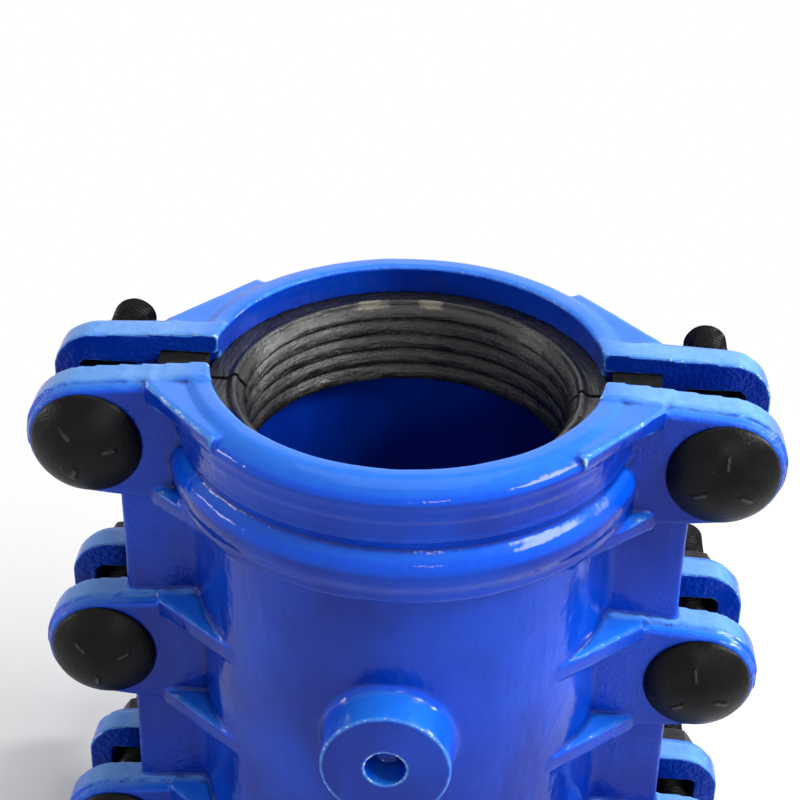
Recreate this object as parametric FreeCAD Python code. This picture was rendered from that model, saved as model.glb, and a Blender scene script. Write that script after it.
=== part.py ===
import FreeCAD, Part
import math
import os

from FreeCAD import Vector

# Split repair sleeve for a plastic pressure pipe, standing on its lower rim.
# Millimetres. The origin is on the pipe's axis, half way up; +Z runs along the pipe,
# X runs across the two bolt rows and the front half lies towards -Y.

# Pipe and shells
PIPE_DIAMETER = 110.0
CHAMBER_CLEARANCE = 12.0
SHELL_WALL = 7.0
BODY_LENGTH = 230.0
MATING_GAP = 18.0

# End collars, measured down from the rim
COLLAR_HEIGHT = 43.0
RIM_LAND = 4.0
RIM_ROUND = 9.5
RIM_DRAFT = 1.0
RIM_EDGE_RADIUS = 1.0
BAND_START = 12.0
BAND_STEP = 0.6
NOTCH_START = 19.7
NOTCH_DEPTH = 3.5
NOTCH_SLOPE = 0.7
NOTCH_LEDGE = 1.9
LOWER_ROLL_RISE = 1.5
LOWER_ROLL_CREST = 34.0
COLLAR_EDGE_RADIUS = 2.5
COLLAR_COVE_RADIUS = 4.0

# Gaskets and side seals
GASKET_EASE = 0.5
GASKET_TOP_DEPTH = 11.5
GASKET_HEIGHT = 30.0
GROOVE_DEPTH = 2.7
GASKET_FIT = 0.05
LIP_RISE = 1.7
LIP_SETBACK = 3.2
LIP_SLOPE_HEIGHT = 3.0
LIP_BASE_WIDTH = 3.0
LIP_TIP_WIDTH = 1.0
SEAL_GROOVE_COUNT = 4
SEAL_GROOVE_DEPTH = 1.6
SEAL_GROOVE_WIDTH = 1.5
RUBBER_SLIT = 2.0
CHANNEL_WIDTH = 20.0
CHANNEL_DEPTH = 4.0
CHANNEL_END_WALL = 7.0
STRIP_SIDE_GAP = 0.3
STRIP_END_GAP = 0.1
STRIP_BEAD_RADIUS = 0.8
STRIP_BEAD_COUNT = 2

# Flanges, ears and gussets
FLANGE_WIDTH = 24.5
FLANGE_THICKNESS = 8.0
FLANGE_ROOT_RADIUS = 5.0
FLANGE_EDGE_RADIUS = 2.0
PAD_STEP = 1.2
EAR_THICKNESS = 14.2
EAR_EDGE_RADIUS = 2.5
EAR_RIM_THICKNESS = 10.0
EAR_RIM_EDGE_RADIUS = 0.8
FRONT_EAR_RADIUS = 22.0
FRONT_EAR_RISE = 0.0
BACK_EAR_RADIUS = 15.0
BACK_EAR_RISE = 8.5
BACK_EAR_REACH = 20.0
GUSSET_THICKNESS = 7.5
GUSSET_EDGE_RADIUS = 1.5
GUSSET_START = 21.0
GUSSET_TIP_ANGLE = 43.0

# Test boss on the front shell
BOSS_RADIUS = 22.0
BOSS_HEIGHT = 13.5
BOSS_DRAFT = 1.2
BOSS_ABOVE_MIDDLE = 9.0
BOSS_ROOT_RADIUS = 3.5
BOSS_EDGE_RADIUS = 1.5
BOSS_HOLE_DIAMETER = 13.6
BOSS_HOLE_DEPTH = 11.0
DRILL_POINT_HEIGHT = 3.5

# Bolt rows
ROW_COUNT = 3
ROW_END_DISTANCE = 25.5
BOLT_OFFSET = 33.0
BOLT_DIAMETER = 16.0
BOLT_LENGTH = 90.0
BOLT_POINT = 1.8
HEAD_DIAMETER = 38.0
HEAD_HEIGHT = 8.8
HEAD_RIM = 0.9
NECK_LENGTH = 12.0
NECK_CORNER_RADIUS = 1.0
NECK_HOLE_CLEARANCE = 0.5
SLOT_WIDTH = 22.0
SLOT_HEIGHT = 26.0
SLOT_CORNER_RADIUS = 3.0
SLOT_INSET = 2.0
WASHER_DIAMETER = 36.0
WASHER_THICKNESS = 4.0
WASHER_BORE_CLEARANCE = 0.75
NUT_ACROSS_FLATS = 24.0
NUT_HEIGHT = 13.0
NUT_BORE_CLEARANCE = 0.05
NUT_SEAT_GAP = 0.2
NUT_CHAMFER_ANGLE = 30.0

# How far a cutter runs past its work, and how near an edge must lie to be picked
CUT_MARGIN = 1.0
PICK_MARGIN = 0.1

# Sizes that follow from the ones above
GASKET_BORE_RADIUS = PIPE_DIAMETER / 2 + GASKET_EASE
CHAMBER_RADIUS = PIPE_DIAMETER / 2 + CHAMBER_CLEARANCE
BODY_RADIUS = CHAMBER_RADIUS + SHELL_WALL
COLLAR_RADIUS = CHAMBER_RADIUS + RIM_LAND + RIM_ROUND
GROOVE_RADIUS = CHAMBER_RADIUS + GROOVE_DEPTH
HALF_LENGTH = BODY_LENGTH / 2
SETBACK = MATING_GAP / 2
FLANGE_EDGE = BODY_RADIUS + FLANGE_WIDTH
FLANGE_FACE = SETBACK + FLANGE_THICKNESS
EAR_FACE = SETBACK + EAR_THICKNESS
BOLT_X = BODY_RADIUS + BOLT_OFFSET
ROW_PITCH = (BODY_LENGTH - 2 * ROW_END_DISTANCE) / (ROW_COUNT - 1)
CHANNEL_EDGE = CHAMBER_RADIUS + CHANNEL_WIDTH
AXIS = Vector(0, 0, 1)
TOWARDS_FRONT = Vector(0, -1, 0)
TOWARDS_BACK = Vector(0, 1, 0)

SIDES = {"left": -1, "right": 1}
ROW_NAMES = {1: ["middle"], 2: ["upper", "lower"], 3: ["upper", "middle", "lower"]}


def row_heights():
    """Heights of the bolt rows by name, from the top down."""
    names = ROW_NAMES.get(ROW_COUNT, [f"row_{i + 1}" for i in range(ROW_COUNT)])
    top = HALF_LENGTH - ROW_END_DISTANCE
    return {name: top - i * ROW_PITCH for i, name in enumerate(names)}


def polyline_face(points):
    """Flat face inside a closed line through the points."""
    return Part.Face(Part.makePolygon(list(points) + [points[0]]))


def wire_face(edges):
    """Flat face inside edges that meet end to end."""
    return Part.Face(Part.Wire(Part.__sortEdges__(edges)))


def line(a, b):
    return Part.LineSegment(a, b).toShape()


def arc(a, b, c):
    return Part.Arc(a, b, c).toShape()


def fuse_all(shapes):
    """One clean solid from shapes that overlap."""
    body = shapes[0].fuse(shapes[1:])
    return body.removeSplitter()


def edges_where(shape, test):
    return [edge for edge in shape.Edges if test(edge)]


def is_upright(edge):
    """True for a straight edge that runs along the pipe."""
    box = edge.BoundBox
    return max(box.XLength, box.YLength) < PICK_MARGIN < box.ZLength


def mirrored_in_height(shape):
    return shape.mirror(Vector(0, 0, 0), AXIS)


def to_back(shape):
    """The same piece on the other side of the parting plane."""
    return shape.mirror(Vector(0, 0, 0), TOWARDS_BACK)


# Shell castings

def collar_profile():
    """Half section of one end collar: rim land, roll, band, stepped notch, second roll and cove."""
    top = HALF_LENGTH
    inner = CHAMBER_RADIUS - SHELL_WALL
    land_end = CHAMBER_RADIUS + RIM_LAND
    crest = COLLAR_RADIUS + LOWER_ROLL_RISE
    band = COLLAR_RADIUS - BAND_STEP
    notch = COLLAR_RADIUS - NOTCH_DEPTH
    ledge = (band + notch) / 2
    bottom = top - COLLAR_HEIGHT
    band_top = top - BAND_START
    notch_top = top - NOTCH_START
    ledge_top = notch_top - NOTCH_SLOPE
    ledge_low = ledge_top - NOTCH_LEDGE
    notch_low = ledge_low - NOTCH_SLOPE
    crest_z = top - LOWER_ROLL_CREST
    drop = notch_low - crest_z
    rise = crest - notch
    roll = (drop ** 2 + rise ** 2) / (2 * rise)
    half_turn = math.asin(drop / roll) / 2
    roll_mid = Vector(crest - roll * (1 - math.cos(half_turn)), 0, crest_z + roll * math.sin(half_turn))
    diagonal = math.sin(math.radians(45))
    land_mid = Vector(land_end + RIM_ROUND * diagonal, 0, top - RIM_ROUND * (1 - diagonal))
    edge_z = bottom + COLLAR_EDGE_RADIUS
    edge_mid = Vector(crest - COLLAR_EDGE_RADIUS * (1 - diagonal), 0, edge_z - COLLAR_EDGE_RADIUS * diagonal)
    cove_r = BODY_RADIUS + COLLAR_COVE_RADIUS
    cove_mid = Vector(cove_r - COLLAR_COVE_RADIUS * diagonal, 0, bottom - COLLAR_COVE_RADIUS * (1 - diagonal))
    cove_z = bottom - COLLAR_COVE_RADIUS
    points = [
        Vector(inner, 0, top),
        Vector(land_end, 0, top),
        Vector(COLLAR_RADIUS, 0, top - RIM_ROUND),
        Vector(COLLAR_RADIUS, 0, band_top),
        Vector(band, 0, band_top - BAND_STEP),
        Vector(band, 0, notch_top),
        Vector(ledge, 0, ledge_top),
        Vector(ledge, 0, ledge_low),
        Vector(notch, 0, notch_low),
        Vector(crest, 0, crest_z),
        Vector(crest, 0, edge_z),
        Vector(crest - COLLAR_EDGE_RADIUS, 0, bottom),
        Vector(cove_r, 0, bottom),
        Vector(BODY_RADIUS, 0, cove_z),
        Vector(inner, 0, cove_z),
    ]
    edges = [
        line(points[0], points[1]),
        arc(points[1], land_mid, points[2]),
        line(points[2], points[3]),
        line(points[3], points[4]),
        line(points[4], points[5]),
        line(points[5], points[6]),
        line(points[6], points[7]),
        line(points[7], points[8]),
        arc(points[8], roll_mid, points[9]),
        line(points[9], points[10]),
        arc(points[10], edge_mid, points[11]),
        line(points[11], points[12]),
        arc(points[12], cove_mid, points[13]),
        line(points[13], points[14]),
        line(points[14], points[0]),
    ]
    return wire_face(edges)


def collar():
    return collar_profile().revolve(Vector(0, 0, 0), AXIS, 360)


def interior():
    """Everything hollow in the sleeve: chamber, gasket grooves and drafted rims."""
    top = HALF_LENGTH
    groove_top = top - GASKET_TOP_DEPTH
    groove_low = groove_top - GASKET_HEIGHT
    lip = CHAMBER_RADIUS + RIM_DRAFT
    upper = [
        Vector(0, 0, top + CUT_MARGIN),
        Vector(CHAMBER_RADIUS + RIM_EDGE_RADIUS, 0, top + CUT_MARGIN),
        Vector(CHAMBER_RADIUS + RIM_EDGE_RADIUS, 0, top),
        Vector(CHAMBER_RADIUS, 0, top - RIM_EDGE_RADIUS),
        Vector(lip, 0, groove_top),
        Vector(GROOVE_RADIUS, 0, groove_top),
        Vector(GROOVE_RADIUS, 0, groove_low),
        Vector(CHAMBER_RADIUS, 0, groove_low),
    ]
    lower = [Vector(p.x, 0, -p.z) for p in reversed(upper)]
    return polyline_face(upper + lower).revolve(Vector(0, 0, 0), AXIS, 360)


def barrel(length):
    """Body tube as a bar, with both flange plates and their root fillets."""
    tube = Part.makeCylinder(BODY_RADIUS, length, Vector(0, 0, -length / 2))
    plate = Part.makeBox(2 * FLANGE_EDGE, FLANGE_FACE, length, Vector(-FLANGE_EDGE, -FLANGE_FACE, -length / 2))
    core = tube.fuse(plate).removeSplitter()
    root_x = math.sqrt(BODY_RADIUS ** 2 - FLANGE_FACE ** 2)

    def is_root(edge):
        x, y = abs(edge.CenterOfMass.x), edge.CenterOfMass.y
        return is_upright(edge) and max(abs(x - root_x), abs(y + FLANGE_FACE)) < PICK_MARGIN

    def is_outer(edge):
        x, y = abs(edge.CenterOfMass.x), edge.CenterOfMass.y
        return is_upright(edge) and max(abs(x - FLANGE_EDGE), abs(y + FLANGE_FACE)) < PICK_MARGIN

    core = core.makeFillet(FLANGE_ROOT_RADIUS, edges_where(core, is_root))
    return core.makeFillet(FLANGE_EDGE_RADIUS, edges_where(core, is_outer))


def ear_outline(inner_x, tip_x, tip_rise, radius, inset):
    """Tapered tab with a rounded tip, as a closed wire in the parting plane.

    The tip is one full round where tip_rise is 0, or else two rounds joined by a straight side.
    The whole tab is drawn inset from its full size.
    """
    root_x = BODY_RADIUS - SHELL_WALL / 2
    half = ROW_END_DISTANCE - inset
    radius = radius - inset
    run = tip_x - root_x
    drop = half - tip_rise
    reach = math.hypot(run, drop)
    lean = math.asin(radius / reach) - math.atan2(drop, run)
    touch = Vector(tip_x + radius * math.sin(-lean), 0, tip_rise + radius * math.cos(lean))
    side = Vector(tip_x + radius, 0, tip_rise)
    middle_angle = (math.pi / 2 + lean) / 2
    middle = Vector(tip_x + radius * math.cos(middle_angle), 0, tip_rise + radius * math.sin(middle_angle))
    root = Vector(root_x, 0, half)
    inner = Vector(inner_x, 0, half)

    def below(p):
        return Vector(p.x, 0, -p.z)

    edges = [line(inner, root), line(root, touch), arc(touch, middle, side)]
    if tip_rise > 0:
        edges.append(line(side, below(side)))
    edges += [
        arc(below(side), below(middle), below(touch)),
        line(below(touch), below(root)),
        line(below(root), below(inner)),
        line(below(inner), inner),
    ]
    return Part.Wire(edges)


def ear(tip_x, tip_rise, radius):
    """Tab round one bolt, on the right: a rim along the parting plane and a thicker pad a step inside it."""
    rim_face = SETBACK + EAR_RIM_THICKNESS
    layers = [
        (CHAMBER_RADIUS - SHELL_WALL, 0, rim_face, EAR_RIM_EDGE_RADIUS),
        (BODY_RADIUS - SHELL_WALL, PAD_STEP, EAR_FACE, EAR_EDGE_RADIUS),
    ]
    slabs = []
    for inner_x, inset, face, edge_radius in layers:
        outline = ear_outline(inner_x, tip_x, tip_rise, radius, inset)
        slab = Part.Face(outline).extrude(Vector(0, -face, 0))

        def is_face_edge(edge):
            box = edge.BoundBox
            return box.YMax < PICK_MARGIN - face and box.XMax > tip_x

        slabs.append(slab.makeFillet(edge_radius, edges_where(slab, is_face_edge)))
    return fuse_all(slabs)


def gusset(tip_radius):
    """Flat web from the ear's face to the body, its outer face at z = 0 and on the right."""
    start_x = BOLT_X - GUSSET_START
    tip = math.radians(GUSSET_TIP_ANGLE)
    inside = BODY_RADIUS - SHELL_WALL / 2
    depth = EAR_FACE - EAR_EDGE_RADIUS
    points = [
        Vector(start_x, -SETBACK, 0),
        Vector(start_x, -EAR_FACE, 0),
        Vector(tip_radius * math.cos(tip), -tip_radius * math.sin(tip), 0),
        Vector(inside * math.cos(tip), -inside * math.sin(tip), 0),
        Vector(math.sqrt(inside ** 2 - SETBACK ** 2), -SETBACK, 0),
    ]
    web = polyline_face(points).extrude(Vector(0, 0, -GUSSET_THICKNESS))

    def is_front_edge(edge):
        middle = edge.CenterOfMass
        is_level = edge.BoundBox.ZLength < PICK_MARGIN
        return is_level and middle.y < -depth and middle.x > tip_radius * math.cos(tip) + PICK_MARGIN

    return web.makeFillet(GUSSET_EDGE_RADIUS, edges_where(web, is_front_edge))


def row_gussets(height):
    """Upper and lower web of one ear, flush with its pad; the outermost ones run out on the collar."""
    outermost = HALF_LENGTH - ROW_END_DISTANCE
    half = ROW_END_DISTANCE - PAD_STEP
    upper_tip = COLLAR_RADIUS if abs(height - outermost) < PICK_MARGIN else BODY_RADIUS
    lower_tip = COLLAR_RADIUS if abs(height + outermost) < PICK_MARGIN else BODY_RADIUS
    upper = gusset(upper_tip)
    upper.translate(Vector(0, 0, height + half))
    lower = mirrored_in_height(gusset(lower_tip))
    lower.translate(Vector(0, 0, height - half))
    return [upper, lower]


def on_both_sides(shapes):
    """Each right-hand shape with its left-hand mirror image."""
    flip = Vector(1, 0, 0)
    return [s for shape in shapes for s in (shape, shape.mirror(Vector(0, 0, 0), flip))]


def boss_blank():
    """Drafted round boss that points to the front, without its root fillet."""
    face = BODY_RADIUS + BOSS_HEIGHT
    depth = BOSS_HEIGHT + 2 * SHELL_WALL
    root = BOSS_RADIUS + BOSS_DRAFT
    cone = Part.makeCone(root, BOSS_RADIUS, depth, Vector(0, depth - face, BOSS_ABOVE_MIDDLE), TOWARDS_FRONT)

    def is_face_edge(edge):
        return edge.BoundBox.YMax < PICK_MARGIN - face

    return cone.makeFillet(BOSS_EDGE_RADIUS, edges_where(cone, is_face_edge))


def boss_hole():
    """Blind drilled hole with the drill's point at its bottom."""
    face = BODY_RADIUS + BOSS_HEIGHT
    radius = BOSS_HOLE_DIAMETER / 2
    mouth = Vector(0, -face, BOSS_ABOVE_MIDDLE)
    bore = Part.makeCylinder(radius, BOSS_HOLE_DEPTH, mouth, TOWARDS_BACK)
    end = mouth + Vector(0, BOSS_HOLE_DEPTH, 0)
    point = Part.makeCone(radius, 0, DRILL_POINT_HEIGHT, end, TOWARDS_BACK)
    return bore.fuse(point)


def with_boss(core):
    """Adds the boss and rounds the root where it meets the body tube."""
    joined = core.fuse(boss_blank()).removeSplitter()
    reach = BOSS_RADIUS + BOSS_DRAFT + CUT_MARGIN

    def is_root(edge):
        box = edge.BoundBox
        around_boss = max(box.XMax, -box.XMin) < reach and min(box.YLength, box.ZLength) > PICK_MARGIN
        return around_boss and -BODY_RADIUS - CUT_MARGIN < box.YMin < 0

    return joined.makeFillet(BOSS_ROOT_RADIUS, edges_where(joined, is_root))


def rounded_bar(width, height, radius, start_y, length):
    """Bar of rounded rectangular section that runs along +Y from start_y, centred on the axis."""
    bar = Part.makeBox(width, length, height, Vector(-width / 2, start_y, -height / 2))

    def is_long(edge):
        box = edge.BoundBox
        return max(box.XLength, box.ZLength) < PICK_MARGIN < box.YLength

    return bar.makeFillet(radius, edges_where(bar, is_long))


def bolt_openings(is_front):
    """Square holes in the front ears, or roomy slots in the back ones, all cut from the front."""
    start = -EAR_FACE - CUT_MARGIN
    if is_front:
        side = BOLT_DIAMETER + 2 * NECK_HOLE_CLEARANCE
        cutter = rounded_bar(side, side, NECK_CORNER_RADIUS, start, EAR_FACE)
        centre = BOLT_X
    else:
        cutter = rounded_bar(SLOT_WIDTH, SLOT_HEIGHT, SLOT_CORNER_RADIUS, start, EAR_FACE)
        centre = BOLT_X - SLOT_INSET
    cutters = []
    for height in row_heights().values():
        opening = cutter.copy()
        opening.translate(Vector(centre, 0, height))
        cutters.append(opening)
    return on_both_sides(cutters)


def seal_channels():
    """Shallow channels in the mating faces, open to the chamber, for the side strips."""
    length = BODY_LENGTH - 2 * CHANNEL_END_WALL
    inner = CHAMBER_RADIUS - SHELL_WALL
    corner = Vector(inner, -SETBACK - CHANNEL_DEPTH, -length / 2)
    return on_both_sides([Part.makeBox(CHANNEL_EDGE - inner, CHANNEL_DEPTH + SETBACK, length, corner)])


def shell(is_front):
    """One half casting, built on the front side of the parting plane."""
    if is_front:
        tab = ear(BOLT_X, FRONT_EAR_RISE, FRONT_EAR_RADIUS)
    else:
        tab = ear(BOLT_X - SLOT_INSET + BACK_EAR_REACH - BACK_EAR_RADIUS, BACK_EAR_RISE, BACK_EAR_RADIUS)
    span = BODY_LENGTH - 2 * ROW_END_DISTANCE
    core = barrel(span)
    if is_front:
        core = with_boss(core)
    ears = []
    webs = []
    for height in row_heights().values():
        placed = tab.copy()
        placed.translate(Vector(0, 0, height))
        ears.append(placed)
        webs += row_gussets(height)
    end = collar()
    body = fuse_all([core, end, mirrored_in_height(end)] + on_both_sides(ears + webs))
    reach = BOLT_X + FRONT_EAR_RADIUS + COLLAR_RADIUS
    behind = Part.makeBox(2 * reach, reach + SETBACK, 2 * reach, Vector(-reach, -SETBACK, -reach))
    cutters = [behind, interior()] + seal_channels() + bolt_openings(is_front)
    if is_front:
        cutters.append(boss_hole())
    body = body.cut(cutters).removeSplitter()
    return body if is_front else to_back(body)


# Rubber parts

def gasket_profile():
    """Section of the ribbed end gasket, in the upper groove."""
    top = HALF_LENGTH - GASKET_TOP_DEPTH
    bottom = top - GASKET_HEIGHT
    outer = GROOVE_RADIUS - GASKET_FIT
    bore = GASKET_BORE_RADIUS
    lip_z = top + LIP_RISE
    points = [
        Vector(outer, 0, bottom),
        Vector(outer, 0, top),
        Vector(bore + LIP_SETBACK + LIP_BASE_WIDTH, 0, top),
        Vector(bore + LIP_SETBACK + LIP_TIP_WIDTH, 0, lip_z),
        Vector(bore + LIP_SETBACK, 0, lip_z),
        Vector(bore, 0, lip_z - LIP_SLOPE_HEIGHT),
    ]
    pitch = (GASKET_HEIGHT + LIP_RISE) / (SEAL_GROOVE_COUNT + 1)
    for i in range(SEAL_GROOVE_COUNT):
        middle = lip_z - (i + 1) * pitch
        points.append(Vector(bore, 0, middle + SEAL_GROOVE_WIDTH / 2))
        points.append(Vector(bore + SEAL_GROOVE_DEPTH, 0, middle + SEAL_GROOVE_WIDTH / 4))
        points.append(Vector(bore + SEAL_GROOVE_DEPTH, 0, middle - SEAL_GROOVE_WIDTH / 4))
        points.append(Vector(bore, 0, middle - SEAL_GROOVE_WIDTH / 2))
    points.append(Vector(bore, 0, bottom))
    return polyline_face(points)


def gasket():
    """Front half of the upper end gasket; its ends stand out of the casting."""
    ring = gasket_profile().revolve(Vector(0, 0, 0), AXIS, 360)
    reach = 2 * COLLAR_RADIUS
    behind = Part.makeBox(2 * reach, 2 * reach, 2 * reach, Vector(-reach, -RUBBER_SLIT / 2, -reach))
    return ring.cut(behind)


def seal_strip():
    """Front right side strip: a bar with sealing beads that fills its channel from end to end."""
    length = BODY_LENGTH - 2 * (CHANNEL_END_WALL + STRIP_END_GAP)
    inner = GROOVE_RADIUS + STRIP_SIDE_GAP
    outer = CHANNEL_EDGE - STRIP_SIDE_GAP
    floor = SETBACK + CHANNEL_DEPTH
    face = RUBBER_SLIT / 2 + STRIP_BEAD_RADIUS
    bar = Part.makeBox(outer - inner, floor - face, length, Vector(inner, -floor, -length / 2))
    beads = []
    for i in range(STRIP_BEAD_COUNT):
        x = inner + (outer - inner) * (i + 1) / (STRIP_BEAD_COUNT + 1)
        beads.append(Part.makeCylinder(STRIP_BEAD_RADIUS, length, Vector(x, -face, -length / 2)))
    return fuse_all([bar] + beads)


# Fasteners, all drawn on the Y axis with the bolt's tail towards +Y

def bolt():
    """Cup-head bolt with a square neck, seated on the front ear's face."""
    radius = BOLT_DIAMETER / 2
    rim = HEAD_DIAMETER / 2
    cap = HEAD_HEIGHT - HEAD_RIM
    sphere = (rim ** 2 + cap ** 2) / (2 * cap)
    half_turn = math.asin(rim / sphere) / 2
    dome_mid = Vector(sphere * math.sin(half_turn), -HEAD_HEIGHT + sphere * (1 - math.cos(half_turn)), 0)
    edges = [
        line(Vector(0, BOLT_LENGTH, 0), Vector(0, -HEAD_HEIGHT, 0)),
        arc(Vector(0, -HEAD_HEIGHT, 0), dome_mid, Vector(rim, -HEAD_RIM, 0)),
        line(Vector(rim, -HEAD_RIM, 0), Vector(rim, 0, 0)),
        line(Vector(rim, 0, 0), Vector(radius, 0, 0)),
        line(Vector(radius, 0, 0), Vector(radius, BOLT_LENGTH - BOLT_POINT, 0)),
        line(Vector(radius, BOLT_LENGTH - BOLT_POINT, 0), Vector(radius - BOLT_POINT, BOLT_LENGTH, 0)),
        line(Vector(radius - BOLT_POINT, BOLT_LENGTH, 0), Vector(0, BOLT_LENGTH, 0)),
    ]
    turned = wire_face(edges).revolve(Vector(0, 0, 0), TOWARDS_BACK, 360)
    neck = rounded_bar(BOLT_DIAMETER, BOLT_DIAMETER, NECK_CORNER_RADIUS, 0, NECK_LENGTH)
    piece = fuse_all([turned, neck])
    piece.translate(Vector(0, -EAR_FACE, 0))
    return piece


def washer():
    """Plain washer on the back ear's face."""
    start = Vector(0, EAR_FACE, 0)
    disc = Part.makeCylinder(WASHER_DIAMETER / 2, WASHER_THICKNESS, start, TOWARDS_BACK)
    bore = BOLT_DIAMETER / 2 + WASHER_BORE_CLEARANCE
    return disc.cut(Part.makeCylinder(bore, WASHER_THICKNESS, start, TOWARDS_BACK))


def nut():
    """Hexagon nut with chamfered corners, run up to its washer."""
    seat = EAR_FACE + WASHER_THICKNESS + NUT_SEAT_GAP
    corner = NUT_ACROSS_FLATS / math.sqrt(3)
    corners = []
    for i in range(6):
        angle = math.radians(60 * i)
        corners.append(Vector(corner * math.cos(angle), seat, corner * math.sin(angle)))
    prism = polyline_face(corners).extrude(Vector(0, NUT_HEIGHT, 0))
    flat = NUT_ACROSS_FLATS / 2
    fall = (corner - flat) * math.tan(math.radians(NUT_CHAMFER_ANGLE))
    barrel_points = [
        Vector(0, seat, 0),
        Vector(flat, seat, 0),
        Vector(corner, seat + fall, 0),
        Vector(corner, seat + NUT_HEIGHT - fall, 0),
        Vector(flat, seat + NUT_HEIGHT, 0),
        Vector(0, seat + NUT_HEIGHT, 0),
    ]
    turned = polyline_face(barrel_points).revolve(Vector(0, 0, 0), TOWARDS_BACK, 360)
    bore = BOLT_DIAMETER / 2 + NUT_BORE_CLEARANCE
    hole = Part.makeCylinder(bore, NUT_HEIGHT, Vector(0, seat, 0), TOWARDS_BACK)
    return prism.common(turned).cut(hole)


def fasteners():
    """Bolt, washer and nut of every row on both sides."""
    masters = {"bolt": bolt(), "washer": washer(), "nut": nut()}
    nodes = {}
    for side, sign in SIDES.items():
        for row, height in row_heights().items():
            for kind, master in masters.items():
                piece = master.copy()
                piece.translate(Vector(sign * BOLT_X, 0, height))
                nodes[f"{kind}_{side}_{row}"] = piece
    return nodes


def rubber():
    """End gaskets and side strips of both halves."""
    upper = gasket()
    strip = seal_strip()
    flip = Vector(1, 0, 0)
    front = {
        "gasket_upper": upper,
        "gasket_lower": mirrored_in_height(upper),
        "seal_strip_right": strip,
        "seal_strip_left": strip.mirror(Vector(0, 0, 0), flip),
    }
    nodes = {}
    for name, piece in front.items():
        nodes[f"front_{name}"] = piece
        nodes[f"back_{name}"] = to_back(piece)
    return nodes


def main():
    nodes = {"front_shell": shell(True), "back_shell": shell(False)}
    nodes.update(rubber())
    nodes.update(fasteners())
    os.makedirs("parts", exist_ok=True)
    for name, shape in nodes.items():
        solid = shape.Solids[0] if len(shape.Solids) == 1 else shape
        solid.exportStep(f"parts/{name}.step")
        print(f"{name}: {len(shape.Solids)} solid, valid {shape.isValid()}, {shape.Volume / 1000:.1f} cm3")


main()
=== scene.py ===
"""Dresses a split pipe repair clamp for a studio picture: enamelled castings, rubber, bolts and nuts."""

import logging
import math
from dataclasses import dataclass
from enum import Enum

import bmesh
import bpy
import numpy as np
from bpy.types import ID, Material, Mesh, Node, NodeSocket, NodeTree, Object, bpy_prop_collection
from mathutils import Matrix, Vector


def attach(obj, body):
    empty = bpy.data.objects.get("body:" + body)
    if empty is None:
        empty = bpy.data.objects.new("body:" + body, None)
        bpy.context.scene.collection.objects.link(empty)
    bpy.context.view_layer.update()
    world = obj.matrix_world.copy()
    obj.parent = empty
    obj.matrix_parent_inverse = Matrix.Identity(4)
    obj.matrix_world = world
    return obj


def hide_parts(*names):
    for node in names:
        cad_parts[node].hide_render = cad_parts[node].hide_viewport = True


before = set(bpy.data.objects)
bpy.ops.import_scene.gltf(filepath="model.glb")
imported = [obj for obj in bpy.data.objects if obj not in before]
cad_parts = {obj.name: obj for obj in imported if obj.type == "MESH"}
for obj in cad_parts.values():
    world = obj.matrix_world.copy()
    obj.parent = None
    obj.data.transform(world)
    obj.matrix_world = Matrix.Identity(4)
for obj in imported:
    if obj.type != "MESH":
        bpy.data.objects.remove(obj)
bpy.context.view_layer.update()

Array = np.ndarray
Faces = list[list[int]]
Colour = tuple[float, float, float]
Point = tuple[float, float, float]
Span = tuple[float, float]
Number = "float | Value"

MM = 0.001
TURN = 2 * math.pi
ORIGIN = (0.0, 0.0, 0.0)
UNSTRETCHED = (1.0, 1.0, 1.0)
WHITE = (1.0, 1.0, 1.0, 1.0)
EDGE = "edge"
PIT = "pit"
TOP = "top"
NORMAL = "skin_normal"
ROUND = "round_the_ring"
AXIS_PRIMES = (73856093, 19349663, 83492791)
SEED_PRIME = 2654435761
MIXING_PRIME = 1274126177
FLASH_SEED = 9
GASKET_SEED = 11
STRIP_SEED = 31

log = logging.getLogger("clamp")


class Named(Enum):
    """A choice whose name goes into the names of pieces."""

    @property
    def word(self) -> str:
        """The name in lower case."""
        return self.name.lower()


class Side(Named):
    """The two bolt rows, by the sign of their X."""

    LEFT = -1
    RIGHT = 1


class Row(Named):
    """The three bolt heights, in millimetres."""

    UPPER = 89.5
    MIDDLE = 0.0
    LOWER = -89.5


class Half(Named):
    """The two halves of the sleeve, by the sign of their Y."""

    FRONT = -1
    BACK = 1

    @property
    def body(self) -> str:
        """Name of the body that the half's pieces ride on."""
        return f"{self.word}_half"


class Slot(Enum):
    """The record's material slots."""

    ENAMEL = "enamel"
    GASKET = "gasket_rubber"
    STRIP = "strip_rubber"
    BOLT = "black_bolt"
    NUT = "black_nut"


# Shader graphs


@dataclass(frozen=True)
class Grain:
    """A cloudy noise: its largest cloud in metres, its octaves, their strength and a stretch of its axes."""

    size: float
    octaves: float = 3.0
    strength: float = 0.55
    stretch: Point = UNSTRETCHED


@dataclass(frozen=True)
class Layer:
    """A coat of colour over the span of some value, by a share that a noise may break up."""

    colour: Colour
    span: Span
    share: float = 1.0
    broken: float = 0.0


class Value:
    """A node's output; arithmetic on it adds Math nodes to the same graph."""

    def __init__(self, graph: "Graph", socket: NodeSocket) -> None:
        """Keeps the socket and the graph that it belongs to."""
        self.graph = graph
        self.socket = socket

    def __add__(self, other: Number) -> "Value":
        """Sum."""
        return self.graph.math("ADD", self, other)

    def __radd__(self, other: Number) -> "Value":
        """Sum, with the plain number first."""
        return self.graph.math("ADD", other, self)

    def __rsub__(self, other: Number) -> "Value":
        """Difference, with the plain number first."""
        return self.graph.math("SUBTRACT", other, self)

    def __mul__(self, other: Number) -> "Value":
        """Product."""
        return self.graph.math("MULTIPLY", self, other)


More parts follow.
